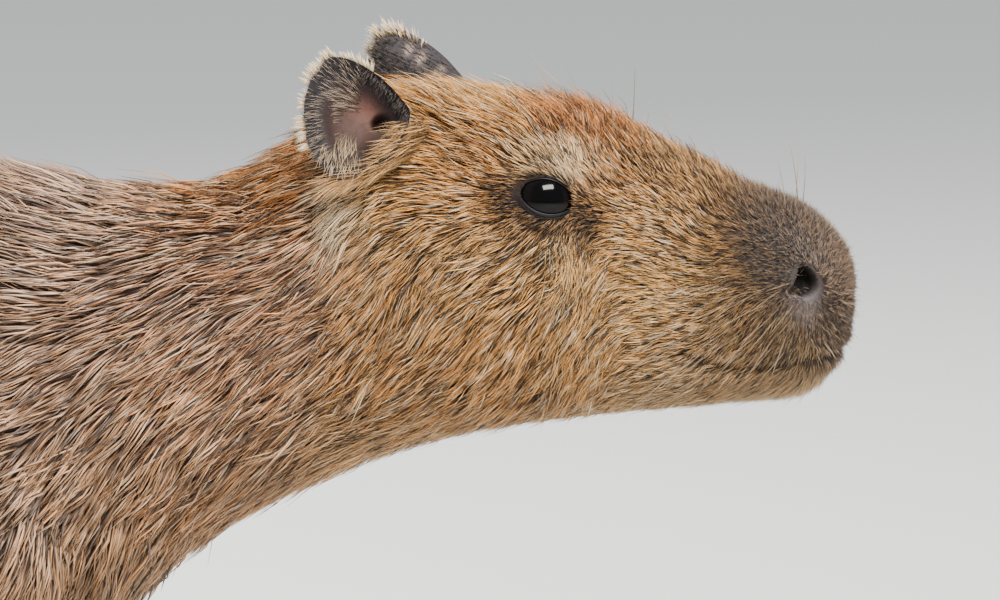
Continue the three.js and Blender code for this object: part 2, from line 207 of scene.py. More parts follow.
# The coat by place. Where: back, sideways, height, and reach, in mm. Lie: forward, outward, up.
# Then how far it stands up, length and width in mm, share of dark hairs, colour at the root and at the tip.
COAT_PLACES = {
    "nose_pad": ((4, 10, 6, 15), (-0.6, 0, 0.6), 0.74, 3.3, 0.34, 0.5, (0.024, 0.018, 0.016), (0.27, 0.185, 0.125)),
    "nose_front": ((2, 10, -10, 12), (-0.5, 0, -0.8), 0.7, 3, 0.34, 0.5, (0.026, 0.02, 0.017), (0.27, 0.19, 0.13)),
    "muzzle_top": ((27, 6, 38, 23), (-1, 0, 0.45), 0.74, 4.4, 0.36, 0.5, (0.024, 0.019, 0.017), (0.21, 0.15, 0.11)),
    "muzzle_side": ((25, 34, 20, 15), (-1, 0, 0.2), 0.6, 3.8, 0.36, 0.5, (0.024, 0.019, 0.018), (0.24, 0.175, 0.13)),
    "nostril_pad": ((18, 27, -1, 6), (-0.3, 0, -1), 0.4, 1.5, 0.34, 0.2, (0.075, 0.066, 0.068), (0.28, 0.25, 0.25)),
    "lip": ((30, 35, -14, 14), (-0.6, 0, -0.8), 0.55, 5.5, 0.44, 0.45, (0.04, 0.028, 0.02), (0.47, 0.32, 0.17)),
    "lip_rear": ((50, 36, -20, 14), (-0.8, 0, -0.6), 0.55, 8, 0.46, 0.36, (0.045, 0.029, 0.019), (0.85, 0.5, 0.21)),
    "bridge": ((62, 14, 56, 20), (-1, 0, 0.5), 0.62, 8.5, 0.48, 0.46, (0.045, 0.029, 0.019), (0.66, 0.38, 0.15)),
    "forehead": ((106, 12, 74, 20), (-1, 0, 0.7), 0.58, 15, 0.54, 0.38, (0.055, 0.028, 0.014), (0.76, 0.28, 0.065)),
    "crown": ((160, 10, 82, 26), (-1, 0, 0), 0.36, 17, 0.64, 0.14, (0.075, 0.038, 0.017), (1, 0.52, 0.16)),
    "temple": ((152, 50, 60, 18), (-1, 0, 0.1), 0.34, 13, 0.58, 0.2, (0.065, 0.034, 0.017), (0.98, 0.46, 0.13)),
    "ear_front": ((176, 50, 62, 11), (-1, 0, 0.1), 0.42, 15, 0.62, 0.22, (0.075, 0.04, 0.02), (1, 0.53, 0.16)),
    "ear_low": ((188, 57, 42, 11), (-1, 0, -0.4), 0.46, 17, 0.64, 0.22, (0.075, 0.042, 0.021), (1, 0.55, 0.18)),
    "snout_side": ((68, 38, 30, 18), (-1, 0, 0.2), 0.36, 8.5, 0.46, 0.34, (0.05, 0.031, 0.019), (0.95, 0.52, 0.19)),
    "snout_rear": ((92, 40, 50, 12), (-1, 0, 0.3), 0.36, 9.5, 0.5, 0.32, (0.05, 0.031, 0.019), (0.92, 0.48, 0.17)),
    "brow": ((111, 41, 56, 7.5), (-1, 0, 0.45), 0.38, 7, 0.44, 0.14, (0.13, 0.098, 0.07), (1, 0.77, 0.48)),
    "brow_rear": ((127, 44, 58, 7), (-1, 0, 0.2), 0.36, 7.5, 0.46, 0.2, (0.08, 0.052, 0.032), (0.98, 0.66, 0.32)),
    "eye_skin": ((122, 50, 42, 11), (-1, 0, 0.05), 0.4, 3.4, 0.4, 0.5, (0.007, 0.006, 0.007), (0.075, 0.055, 0.045)),
    "eye_rear": ((135, 50, 44, 7), (-1, 0, 0), 0.42, 3.4, 0.4, 0.6, (0.006, 0.005, 0.006), (0.045, 0.034, 0.03)),
    "tear": ((100, 47, 35.5, 7.5), (-1, 0, 0.1), 0.36, 3.4, 0.4, 0.7, (0.008, 0.007, 0.008), (0.06, 0.046, 0.042)),
    "under_eye": ((114, 52, 20, 12), (-0.6, 0, -0.75), 0.32, 9, 0.48, 0.26, (0.06, 0.038, 0.022), (1, 0.59, 0.23)),
    "cheek_front": ((66, 39, 2, 20), (-1, 0, -0.1), 0.38, 11, 0.5, 0.28, (0.06, 0.036, 0.02), (1, 0.58, 0.21)),
    "cheek": ((104, 53, -14, 24), (-0.6, 0, -0.8), 0.34, 13, 0.54, 0.28, (0.06, 0.035, 0.019), (1, 0.54, 0.18)),
    "jaw": ((160, 58, -22, 30), (-0.65, 0, -0.75), 0.32, 15, 0.6, 0.28, (0.06, 0.034, 0.018), (0.98, 0.5, 0.17)),
    "cheek_top": ((150, 56, 16, 22), (-0.85, 0, -0.45), 0.32, 13.5, 0.57, 0.26, (0.065, 0.037, 0.02), (1, 0.55, 0.19)),
    "under_ear": ((202, 60, 46, 12), (-0.5, 0, -0.85), 0.34, 15, 0.62, 0.02, (0.34, 0.25, 0.165), (1, 0.88, 0.66)),
    "ear_rear": ((228, 40, 50, 18), (-1, 0, -0.3), 0.36, 18, 0.8, 0.28, (0.06, 0.03, 0.015), (0.8, 0.34, 0.1)),
    "chin": ((60, 8, -48, 30), (-1, 0, 0), 0.3, 8, 0.52, 0.2, (0.065, 0.045, 0.03), (0.72, 0.49, 0.26)),
    "throat": ((190, 15, -76, 38), (-1, 0, -0.3), 0.28, 16, 0.75, 0.22, (0.075, 0.048, 0.03), (0.74, 0.45, 0.21)),
    "nape": ((258, 10, 44, 28), (-1, 0, -0.15), 0.34, 25, 1, 0.28, (0.07, 0.035, 0.017), (0.86, 0.38, 0.12)),
    "neck": ((262, 64, 2, 36), (-0.9, 0, -0.55), 0.28, 25, 0.9, 0.26, (0.095, 0.058, 0.044), (0.96, 0.53, 0.31)),
    "neck_low": ((262, 50, -72, 42), (-0.7, 0, -0.8), 0.26, 24, 1, 0.24, (0.085, 0.052, 0.038), (0.82, 0.46, 0.24)),
    # The withers' pale grey-pink tips are partly the coat's own colour and partly a painted wet sheen.
    "withers": ((350, 40, 36, 55), (-1, 0, -0.2), 0.24, 28, 1.4, 0.22, (0.12, 0.083, 0.068), (0.73, 0.5, 0.38)),
    "shoulder": ((350, 92, -50, 60), (-0.9, 0, -0.5), 0.24, 28, 1.6, 0.2, (0.1, 0.066, 0.05), (0.66, 0.42, 0.28)),
    "chest": ((318, 25, -130, 55), (-0.4, 0, -0.9), 0.26, 24, 1.6, 0.16, (0.085, 0.056, 0.038), (0.58, 0.36, 0.19)),
    "back": ((520, 40, 56, 120), (-1, 0, -0.15), 0.22, 32, 1.9, 0.2, (0.095, 0.062, 0.048), (0.6, 0.39, 0.26)),
    "back_rear": ((740, 40, 62, 110), (-1, 0, -0.15), 0.22, 32, 1.9, 0.2, (0.08, 0.05, 0.034), (0.48, 0.26, 0.13)),
    "flank": ((500, 112, -60, 110), (-1, 0, -0.4), 0.22, 31, 1.9, 0.18, (0.085, 0.054, 0.038), (0.54, 0.31, 0.16)),
    "hip": ((700, 115, -60, 110), (-1, 0, -0.45), 0.22, 31, 1.9, 0.18, (0.085, 0.054, 0.038), (0.52, 0.29, 0.14)),
    "rump": ((890, 40, -10, 85), (-0.6, 0, -0.8), 0.22, 29, 1.9, 0.18, (0.08, 0.05, 0.034), (0.5, 0.28, 0.14)),
    "belly": ((540, 25, -215, 95), (-1, 0.2, -0.1), 0.2, 24, 1.8, 0.1, (0.11, 0.074, 0.05), (0.66, 0.44, 0.25)),
    "foreleg": ((378, 88, -200, 60), (-0.35, 0, -1), 0.22, 15, 1.4, 0.24, (0.07, 0.046, 0.032), (0.44, 0.25, 0.13)),
    "hindleg": ((765, 100, -180, 75), (-0.5, 0, -1), 0.2, 20, 1.6, 0.22, (0.07, 0.046, 0.032), (0.48, 0.27, 0.13)),
    "wrist": ((372, 80, -300, 45), (-0.2, 0, -1), 0.25, 9, 1.1, 0.32, (0.05, 0.036, 0.028), (0.27, 0.165, 0.1)),
    "hock": ((828, 84, -290, 45), (-0.2, 0, -1), 0.25, 10, 1.2, 0.32, (0.05, 0.036, 0.028), (0.27, 0.165, 0.1)),
    "forefoot": ((352, 80, -375, 26), (0.8, 0, -0.5), 0.3, 3.2, 0.8, 0.45, (0.04, 0.031, 0.027), (0.12, 0.09, 0.07)),
    "hindfoot": ((760, 84, -372, 30), (0.8, 0, -0.5), 0.3, 3.6, 0.8, 0.45, (0.04, 0.031, 0.027), (0.12, 0.09, 0.07)),
}


def coat_at(points):
    """Blends the coat's places at each point, so that skin and hair carry the same markings."""
    where = np.array([spot for spot, *_ in COAT_PLACES.values()], float)
    values = np.array(
        [(*lie, stand, length, width, dark, *root, *tip)
         for _, lie, stand, length, width, dark, root, tip in COAT_PLACES.values()]
    )
    apart = ((from_nose(points)[:, None, :] - where[None, :, :3]) ** 2).sum(-1) / where[:, 3] ** 2
    weight = np.exp(-apart) + 1e-5 / (1 + apart) ** 2
    mixed = (weight @ values) / weight.sum(1, keepdims=True)
    return {
        "lie": mixed[:, :3],
        "stand": mixed[:, 3],
        "length": mixed[:, 4],
        "width": mixed[:, 5],
        "dark": mixed[:, 6],
        "root": mixed[:, 7:10],
        "tip": mixed[:, 10:13],
    }


def coat_depth(points):
    """How far the skin lies inside the outline, in metres."""
    coat = coat_at(points)
    return np.clip(coat["stand"] * coat["length"] * 0.72, 0.4, 8.0) * MM


# Eyes: the ball, the skin over it, and how far that falls back behind the ball's face in the opening
EYE_RADIUS = 13.5 * MM
LID_THICK = 1.0 * MM
SOCKET_GAP = 2.5 * MM
# The opening between the lids, in mm: half its width, its height above and below, and how full its lens is
LID_HALF, LID_ABOVE, LID_BELOW, LID_FULL = 12.2, 7.6, 7.8, 0.66


def eye_frame(side):
    """The middle of the ball, where it looks, and forward and up across the opening."""
    low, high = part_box(f"eye_{'left' if side > 0 else 'right'}")
    centre = (low + high) / 2
    look = Vector((0.22, side * 0.94, 0.2)).normalized()
    fore = Vector((1, 0, -0.2))
    fore = (fore - look * look.dot(fore)).normalized()
    up = look.cross(fore)
    return centre, look, fore, up if up.z > 0 else -up


def lid_edge(turn):
    """The edge of the eye's opening, in mm forward and up from its middle, as a lens."""
    forward = LID_HALF * np.cos(turn)
    lens = np.maximum(0, 1 - (forward / LID_HALF) ** 2) ** LID_FULL
    return forward, np.where(np.sin(turn) > 0, LID_ABOVE, -LID_BELOW) * lens


def inside_lids(forward, rise, scale=1.0):
    reach = np.clip(1 - (forward / (LID_HALF * scale)) ** 2, 0, 1) ** LID_FULL
    across = np.abs(forward) < LID_HALF * scale
    return (rise < LID_ABOVE * scale * reach) & (rise > -LID_BELOW * scale * reach) & across


def add_eye(name, side):
    centre, look, *_ = eye_frame(side)
    bm = bmesh.new()
    bmesh.ops.create_uvsphere(bm, u_segments=56, v_segments=36, radius=EYE_RADIUS)
    bmesh.ops.translate(bm, verts=bm.verts, vec=centre)
    eye = finish_piece(f"eyeball_{name}", bm, eye_finish(name, centre, look))
    settle(eye, "eye", f"eye_{name}")


def eye_finish(name, centre, look):
    """A wet, nearly black eye whose brown iris only shows in strong light."""
    material, tree, shader = new_finish(f"wet_eye_{name}", 0.09, 0.13)
    coords = new_node(tree, "TexCoord")
    away = new_node(tree, "VectorMath")
    away.operation = "DISTANCE"
    away.inputs[1].default_value = centre + look * EYE_RADIUS
    reach = new_node(tree, "MapRange", From_Max=13 * MM)
    iris = new_node(tree, "ValToRGB")
    ramp = iris.color_ramp.elements
    ramp[0].color = (0.0004, 0.0004, 0.0005, 1)
    ramp[1].color = (0.0008, 0.0008, 0.0009, 1)
    ramp.new(0.50).color = (0.0006, 0.0005, 0.0005, 1)
    ramp.new(0.62).color = (0.0022, 0.0014, 0.0011, 1)
    wire(
        tree,
        (coords, "Object", away, 0),
        (away, "Value", reach, "Value"),
        (reach, "Result", iris, "Fac"),
        (iris, "Color", shader, "Base Color"),
    )
    return material


def add_lid_rim(name, side, material):
    """The bare rim of the lids: a ring of round section laid along the opening, thicker below."""
    centre, look, fore, up = eye_frame(side)
    section, proud = 0.25, 0.25
    bm = bmesh.new()
    ring = bmesh.ops.create_circle(bm, segments=10, radius=section)["verts"]
    bmesh.ops.rotate(bm, verts=ring, cent=(0, 0, 0), matrix=Matrix.Rotation(math.pi / 2, 3, "X"))
    bmesh.ops.translate(bm, verts=ring, vec=(1, 0, 0))
    bmesh.ops.spin(
        bm, geom=bm.verts[:] + bm.edges[:], cent=(0, 0, 0), axis=(0, 0, 1), dvec=(0, 0, 0),
        angle=math.tau, steps=64, use_merge=True, use_duplicate=False,
    )
    bmesh.ops.remove_doubles(bm, verts=bm.verts, dist=1e-5)
    for vert in bm.verts:
        turn = math.atan2(vert.co.y, vert.co.x)
        out = (math.hypot(vert.co.x, vert.co.y) - 1) / section
        lift = vert.co.z / section
        forward, rise = (float(v) for v in lid_edge(turn))
        ahead, above = (float(v) for v in lid_edge(turn + 0.06))
        across = Vector((above - rise, forward - ahead)).normalized()
        if across.dot(Vector((forward, rise))) < 0:
            across = -across
        thick = (0.6 if rise >= 0 else 1.25) * (0.55 + 0.45 * abs(math.sin(turn)))
        forward += across.x * out * thick * 0.8
        rise += across.y * out * thick * 0.8
        ball = EYE_RADIUS / MM + proud + lift * thick * 0.6
        deep = math.sqrt(max(1.0, ball * ball - forward * forward - rise * rise))
        vert.co = centre + (fore * forward + up * rise + look * deep) * MM
    bmesh.ops.recalc_face_normals(bm, faces=bm.faces)
    settle(finish_piece(f"lid_rim_{name}", bm, material), "coat")


# Skin
FLESH = ["head", "neck", "torso", "tail_stub"] + [
    f"{leg}_{part}_{side}" for leg in ("fore", "hind") for part in ("leg", "foot") for side in SIDES
]
WELD = 0.002 * MM
VOXEL = 2.9 * MM
# Each nostril and the pale pad below it: back, sideways and height in mm
NOSTRIL = (15.0, 28.0, 9.0)
NOSTRIL_PAD = (17, 28, -1)
# The mouth's line: how far back, and how high there
MOUTH_LINE = ([0, 14, 34, 52, 66], [-22, -23, -26, -25, -18])
MOUTH_END = 68
# Balls that fill the eye sockets, and the nostrils and ear canals: back, sideways, height and radius
SOCKET_PLUG = 14.8
PLUGS = [(17, 25.5, 8, 8.5), (20, 20, 8, 8.0), (193, 44, 70, 8.5), (194, 38, 66, 7.0)]
# The height where feet and legs end above
FOOT_TOP, LEG_TOP = -330, -215
# How far back the middle of the trunk and the axes of the legs are, and how far out the legs
MID_BODY, FORE_LEG, HIND_LEG, LEG_OUT = 560, 370, 790, 84


def nostril_at(side):
    return place(NOSTRIL[0], side * NOSTRIL[1], NOSTRIL[2])


def smoothed(spots, edges, rounds, hold=None):
    """Relaxes points towards the middle of their neighbours."""
    count = len(spots)
    ends = np.concatenate([edges, edges[:, ::-1]])
    share = np.bincount(ends[:, 0], minlength=count)[:, None]
    strength = 0.5 if hold is None else 0.5 * (1 - hold)[:, None]
    for _ in range(rounds):
        total = np.stack([np.bincount(ends[:, 0], spots[ends[:, 1], k], count) for k in range(3)], 1)
        spots = spots + strength * (total / np.maximum(share, 1) - spots)
    return spots


def numbers(items, key, width, kind=np.float64):
    """A value of each vertex, edge or face, in rows."""
    values = np.empty(len(items) * width, kind)
    items.foreach_get(key, values)
    return values.reshape(-1, width)


def spots_of(mesh):
    return numbers(mesh.vertices, "co", 3)


def normals_of(mesh):
    return numbers(mesh.vertex_normals, "vector", 3, np.float32).astype(float)


def edges_of(mesh):
    return numbers(mesh.edges, "vertices", 2, np.int32)


def put_spots(mesh, spots):
    mesh.vertices.foreach_set("co", spots.astype(np.float32).ravel())
    mesh.update()


def evaluated(obj):
    graph = bpy.context.evaluated_depsgraph_get()
    return bpy.data.meshes.new_from_object(obj.evaluated_get(graph))


def one_body():
    """The flesh solids as one mesh, grown until they touch, with sockets, nostrils and canals plugged."""
    bm = bmesh.new()
    for node in FLESH:
        bm.from_mesh(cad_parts[node].data)
    bmesh.ops.remove_doubles(bm, verts=bm.verts, dist=WELD)
    bm.normal_update()
    for vert in bm.verts:
        vert.co += vert.normal * 0.6 * MM
    for side in SIDES.values():
        plugs = [(eye_frame(side)[0], SOCKET_PLUG)]
        plugs += [(place(back, side * out, height), radius) for back, out, height, radius in PLUGS]
        for spot, radius in plugs:
            ball = bmesh.ops.create_icosphere(bm, subdivisions=3, radius=radius * MM)["verts"]
            bmesh.ops.translate(bm, verts=ball, vec=spot)
    mesh = bpy.data.meshes.new("flesh")
    bm.to_mesh(mesh)
    bm.free()
    return mesh


def refine(mesh):
    """Halves the edges near the features, twice."""
    bm = bmesh.new()
    bm.from_mesh(mesh)
    for turn in range(2):
        bm.verts.ensure_lookup_table()
        close = near_features(np.array([vert.co for vert in bm.verts]), turn)
        edges = [edge for edge in bm.edges if close[edge.verts[0].index] and close[edge.verts[1].index]]
        bmesh.ops.subdivide_edges(bm, edges=edges, cuts=1, use_grid_fill=True)
        bmesh.ops.triangulate(bm, faces=bm.faces)
        bm.verts.index_update()
    bm.to_mesh(mesh)
    bm.free()


def above_mouth(where):
    """How far points lie above the mouth's line, in mm."""
    return where[:, 2] - np.interp(where[:, 0], *MOUTH_LINE)


def near_features(spots, turn):
    """Which points lie near a nostril, the mouth or an eye, and nearer on the second turn."""
    where = from_nose(spots)
    nostril, mouth, mouth_end, eye = (reach - (5 if turn else 0) for reach in (17, 8, 70, 24))
    close = ((where - np.array(NOSTRIL)) ** 2).sum(1) < nostril**2
    close |= (where[:, 0] < mouth_end) & (np.abs(above_mouth(where)) < mouth)
    for side in SIDES.values():
        centre = np.array(eye_frame(side)[0])
        close |= ((spots - centre) ** 2).sum(1) < (eye * MM) ** 2
    return close


def carve_mouth(spots, normals):
    """Presses in the mouth's line and the cleft under the nose, and swells the lips."""
    where = from_nose(spots)
    rise = above_mouth(where)
    fade = np.clip((MOUTH_END - where[:, 0]) / 14, 0, 1)
    push = -3.0 * np.exp(-((rise / 1.1) ** 2)) + 1.1 * np.exp(-(((np.abs(rise) - 4.5) / 3.0) ** 2))
    cleft = np.exp(-((where[:, 1] / 0.9) ** 2)) * (where[:, 0] < 14) * (rise > 0) * (where[:, 2] < 2)
    spots = spots + normals * ((push * fade - 1.6 * cleft) * MM)[:, None]
    # The mouth's line is also returned, for the skin's painted shade in it.
    return spots, np.exp(-((rise / 1.4) ** 2)) * fade


def carve_nostril(spots, side):
    """A comma that opens forward and outward, with a full wing above and a rim round it."""
    away = (spots - np.array(nostril_at(side))) / MM
    inward = np.array(Vector((-0.55, -side * 0.75, -0.1)).normalized())
    along = np.array(Vector((0.42, side * 0.1, 0.85)).normalized())
    across = np.cross(inward, along)
    tall, wide = away @ along, away @ across
    wide = wide + 0.10 * (tall - 1) ** 2
    round_ = (tall / 5.8) ** 2 + (wide / 4.3) ** 2
    near = (np.abs(away @ inward) < 12) & (tall < 14)
    pit = np.clip(1.25 - round_, 0, 1) * near
    rim = np.exp(-(((np.sqrt(round_) - 1.55) / 0.45) ** 2)) * near
    spots = spots + inward * ((pit**0.6) * 8.5 * MM)[:, None] - inward * (rim * 0.5 * MM)[:, None]
    # The pit is also returned, for the skin's painted shade in it.
    return spots, np.clip(pit * 2.2, 0, 1)


def carve_lids(spots, side):
    """The skin hugs the ball, and inside the opening it falls back behind it."""
    centre, look, fore, up = arrays(eye_frame(side))
    away = spots - centre
    reach = np.linalg.norm(away, axis=1)
    facing = (away @ look) / np.maximum(reach, 1e-9)
    close = reach < 22 * MM
    lid = EYE_RADIUS + LID_THICK
    snug = np.clip((facing - 0.35) / 0.35, 0, 1) * close
    target = np.maximum(reach, lid) * (1 - snug) + lid * snug
    target = np.where((facing > -0.2) & close, target, reach)
    opening = inside_lids((away @ fore) / MM, (away @ up) / MM) & (facing > 0)
    target = np.where(opening & close, EYE_RADIUS - SOCKET_GAP, target)
    # The opening is also returned, for the skin's painted shade behind the lids.
    return centre + away * (target / np.maximum(reach, 1e-9))[:, None], opening


def sink_under_ear(spots, side):
    """Keeps the skin behind the ear cup and its canal."""
    forward, tall, deep = in_ear(spots, side)
    round_ = np.hypot((forward + 1) / 21, tall / 24)
    floor = -EAR_CUP * (1 - np.clip(round_, 0, 1) ** 2.2) - 4.5 - 6 * np.clip(3.6 - 4 * round_, 0, 1)
    sink = np.where((round_ < 0.92) & (deep > floor) & (deep < 14), deep - floor, 0)
    return spots - np.array(ear_axes(side)[0]) * (sink * MM)[:, None]


def carve_features(spots, normals):
    """Carves mouth, nostrils and lids, and says how far each point lies in one of their hollows, for the skin's
    painted shade there.
    """
    spots, hollow_shade = carve_mouth(spots, normals)
    for carve in (carve_nostril, carve_lids):
        for side in SIDES.values():
            spots, pit = carve(spots, side)
            hollow_shade = np.maximum(hollow_shade, pit)
    for side in SIDES.values():
        spots = sink_under_ear(spots, side)
    return spots, hollow_shade


def skin_tint(spots, hollow_shade):
    """The colour of the coat's roots, dark round the eyes, with painted shade that turns the nostrils, the mouth's
    line and the eye openings nearly black.
    """
    coat = coat_at(spots)
    bare = np.clip(1 - coat["length"] / 9, 0, 1)[:, None]
    tint = coat["root"] * (0.75 + 0.5 * bare)
    where = from_nose(spots)
    pad = np.exp(-(((where - np.array(NOSTRIL_PAD)) ** 2).sum(1) / 6.0**2))[:, None]
    tint = blend(tint, (0.090, 0.078, 0.080), pad)
    for side in SIDES.values():
        apart = np.linalg.norm(spots - np.array(eye_frame(side)[0]), axis=1) / MM
        tint = tint * (1 - 0.78 * np.exp(-((apart / 16) ** 8)))[:, None]
    # Painted shade: the hollows of nostrils, mouth line and eye openings darken almost to black.
    return tint * (1 - 0.93 * np.clip(hollow_shade, 0, 1))[:, None]


def store_tint(mesh, tint):
    layer = mesh.color_attributes.new("tint", "FLOAT_COLOR", "POINT")
    colours = np.ones((len(tint), 4), np.float32)
    colours[:, :3] = np.clip(tint, 0, 1)
    layer.data.foreach_set("color", colours.ravel())


def add_skin():
    """One skin over all the flesh: even faces, sunk by the depth of the coat, coarser behind the head."""
    body = show("flesh", one_body())
    remesh = body.modifiers.new("even", "REMESH")
    remesh.mode = "VOXEL"
    remesh.voxel_size = VOXEL
    mesh = evaluated(body)
    body.modifiers.clear()
    spots = smoothed(spots_of(mesh), edges_of(mesh), 3)
    feet = np.clip((FOOT_TOP - from_nose(spots)[:, 2]) / 20, 0, 1)
    spots = smoothed(spots, edges_of(mesh), 14, feet)
    put_spots(mesh, spots)
    put_spots(mesh, spots - normals_of(mesh) * coat_depth(spots)[:, None])
    spots = smoothed(spots_of(mesh), edges_of(mesh), 3, feet)
    put_spots(mesh, spots)
    body.data = mesh
    group = body.vertex_groups.new(name="broad")
    where = from_nose(spots)
    broad = np.clip((where[:, 0] - 235) / 40, 0, 1) * np.clip((where[:, 2] + 360) / 30, 0, 1)
    for index in np.flatnonzero(broad > 0.02):
        group.add([int(index)], float(broad[index]), "REPLACE")
    thin = body.modifiers.new("thin", "DECIMATE")
    thin.ratio = 0.5
    thin.vertex_group = "broad"
    thin.vertex_group_factor = 4
    mesh = evaluated(body)
    bpy.data.objects.remove(body)
    refine(mesh)
    spots, hollow_shade = carve_features(spots_of(mesh), normals_of(mesh))
    put_spots(mesh, spots)
    store_tint(mesh, skin_tint(spots, hollow_shade))
    mesh.shade_smooth()
    mesh.materials.clear()
    mesh.materials.append(tinted_finish("dark_skin", 0.70, 0.12, 900, 0.5))
    skin = show("skin", mesh)
    skin.vertex_groups.clear()
    settle(skin, "coat", *FLESH)
    return skin


# Hair, as closed tapering strands built in arrays
def strands(name, paths, wide, thick, up, tints, chart, material, sides=3):
    """Joins strands in one mesh. Paths and tints: strand, ring and xyz or colour, the last ring a tip."""
    count, rings = paths.shape[0], paths.shape[1] - 1
    along = unit(paths[:, 1:] - paths[:, :-1])
    along = np.concatenate([along, along[:, -1:]], 1)
    across = unit(np.cross(along, up[:, None, :]))
    above = unit(np.cross(across, along))
    turns = math.tau * np.arange(sides) / sides + math.pi / 2
    ring = (
        across[:, :rings, None] * (np.cos(turns)[None, None, :, None] * wide[:, :, None, None])
        + above[:, :rings, None] * (np.sin(turns)[None, None, :, None] * thick[:, :, None, None])
        + paths[:, :rings, None]
    )
    each = rings * sides + 1
    verts = np.concatenate([ring.reshape(count, -1, 3), paths[:, -1:, :]], 1).reshape(-1, 3)
    colours = np.concatenate([np.repeat(tints[:, :rings], sides, axis=1), tints[:, -1:]], 1).reshape(-1, 3)
    faces = []
    for row in range(rings - 1):
        for k in range(sides):
            a, b = row * sides + k, row * sides + (k + 1) % sides
            faces += [(a, b, b + sides), (a, b + sides, a + sides)]
    last = (rings - 1) * sides
    faces += [(last + k, last + (k + 1) % sides, each - 1) for k in range(sides)]
    faces += [(0, k + 1, k) for k in range(1, sides - 1)]
    faces = np.array(faces)
    local = np.array([(k / (sides - 1), row / rings) for row in range(rings) for k in range(sides)] + [(0.5, 1)])
    corners = (faces[None] + (np.arange(count) * each)[:, None, None]).reshape(-1)
    patches = chart[:, None, :] + (local * 0.003)[faces.reshape(-1)][None]
    mesh = bpy.data.meshes.new(name)
    mesh.vertices.add(len(verts))
    mesh.vertices.foreach_set("co", verts.astype(np.float32).ravel())
    mesh.loops.add(len(corners))
    mesh.loops.foreach_set("vertex_index", corners.astype(np.int32))
    mesh.polygons.add(len(corners) // 3)
    mesh.polygons.foreach_set("loop_start", np.arange(0, len(corners), 3, dtype=np.int32))
    mesh.update(calc_edges=True)
    mesh.shade_smooth()
    layer = mesh.uv_layers.new(name="OFBake")
    layer.data.foreach_set("uv", patches.astype(np.float32).ravel())
    store_tint(mesh, colours)
    mesh.materials.append(material)
    settle(show(name, mesh), "coat")


def unrolled(points):
    """Where each root lies on the skin unrolled round trunk or leg, stretched to fill the square."""
    where = from_nose(points)
    side = np.sign(points[:, 1])
    turn = np.arctan2(where[:, 1], where[:, 2] + 40) / math.pi * side
    leg = where[:, 2] < LEG_TOP
    rear = where[:, 0] > MID_BODY
    axis = np.where(rear, HIND_LEG, FORE_LEG)
    own = np.arctan2(where[:, 1] - LEG_OUT, where[:, 0] - axis) / math.tau + 0.5
    u = np.where(leg, own + 1.2 * rear + 2.4 * (side > 0), turn)
    v = np.where(leg, where[:, 2], where[:, 0])
    chart = np.stack([u, v], 1)
    low, high = chart.min(0), chart.max(0)
    return 0.002 + 0.994 * (chart - low) / np.maximum(high - low, 1e-6)


class SkinField:
    """The skin's triangles, ready for roots to be drawn from them."""

    def __init__(self, skin):
        mesh = skin.data
        mesh.calc_loop_triangles()
        self.faces = numbers(mesh.loop_triangles, "vertices", 3, np.int32)
        self.spots = spots_of(mesh)
        self.normals = normals_of(mesh)
        a, b, c = (self.spots[self.faces[:, k]] for k in range(3))
        self.area = np.linalg.norm(np.cross(b - a, c - a), axis=1) / 2
        self.middle = (a + b + c) / 3

    def draw(self, count, where, weight, rng):
        """Random spots on the skin, and its normals there."""
        share = self.area * where * weight
        picked = rng.choice(len(share), count, p=share / share.sum())
        r = np.sqrt(rng.random(count))[:, None]
        s = rng.random(count)[:, None]
        parts = [1 - r, r * (1 - s), r * s]
        corners = self.faces[picked]
        roots = sum(self.spots[corners[:, k]] * parts[k] for k in range(3))
        normals = unit(sum(self.normals[corners[:, k]] * parts[k] for k in range(3)))
        return roots, normals


def haired(points):
    """Which roots may carry hair: none in eyes, nostrils, mouth and ear cups, or on the soles."""
    where = from_nose(points)
    keep = points[:, 2] > 3.5 * MM
    keep &= ~((np.abs(above_mouth(where)) < 1.6) & (where[:, 0] < MOUTH_END - 4))
    away = where - np.array(NOSTRIL)
    keep &= np.hypot((away[:, 2] - 0.3 * away[:, 0]) / 7.1, np.hypot(away[:, 0], away[:, 1]) / 6.9) > 1
    for side in SIDES.values():
        centre, look, fore, up = arrays(eye_frame(side))
        away = (points - centre) / MM
        keep &= ~(inside_lids(away @ fore, away @ up, 1.10) & (away @ look > 0))
        forward, tall, deep = in_ear(points, side)
        keep &= ~((np.hypot(tall / 25, forward / 20) < 0.8) & (deep > -16) & (deep < 10))
    return keep


def outside_cups(points):
    """Whether points lie clear of the bowls of the ears."""
    clear = np.ones(len(points), bool)
    for side in SIDES.values():
        forward, tall, deep = in_ear(points, side)
        clear &= ~((np.hypot((forward + 3) / 19, tall / 23) < 1) & (deep > -18) & (deep < 3))
    return clear


def wander(points, scale, seed):
    """A smooth field of soft waves, mostly between -1 and 1."""
    rng = np.random.default_rng(seed)
    value = np.zeros(len(points))
    for _ in range(5):
        wave = rng.normal(size=3) * scale
        value += np.sin(points @ wave + rng.random() * math.tau)
    return value / 3


def coat_lie(coat, roots, normals):
    """Which way each hair lies along the skin, turned aside round the eyes and the nostrils."""
    lie = coat["lie"].copy()
    lie[:, 1] *= np.sign(roots[:, 1])
    for side in SIDES.values():
        away = roots - np.array(eye_frame(side)[0])
        near = fading(away, 20)
        along, away = unit(lie), unit(away)
        lie = lie + 1.5 * near * (away - along * (away * along).sum(1, keepdims=True))
        away = roots - np.array(nostril_at(side))
        lie = lie + 2.0 * fading(away, 9) * unit(away)
    return unit(lie - normals * (lie * normals).sum(1, keepdims=True))


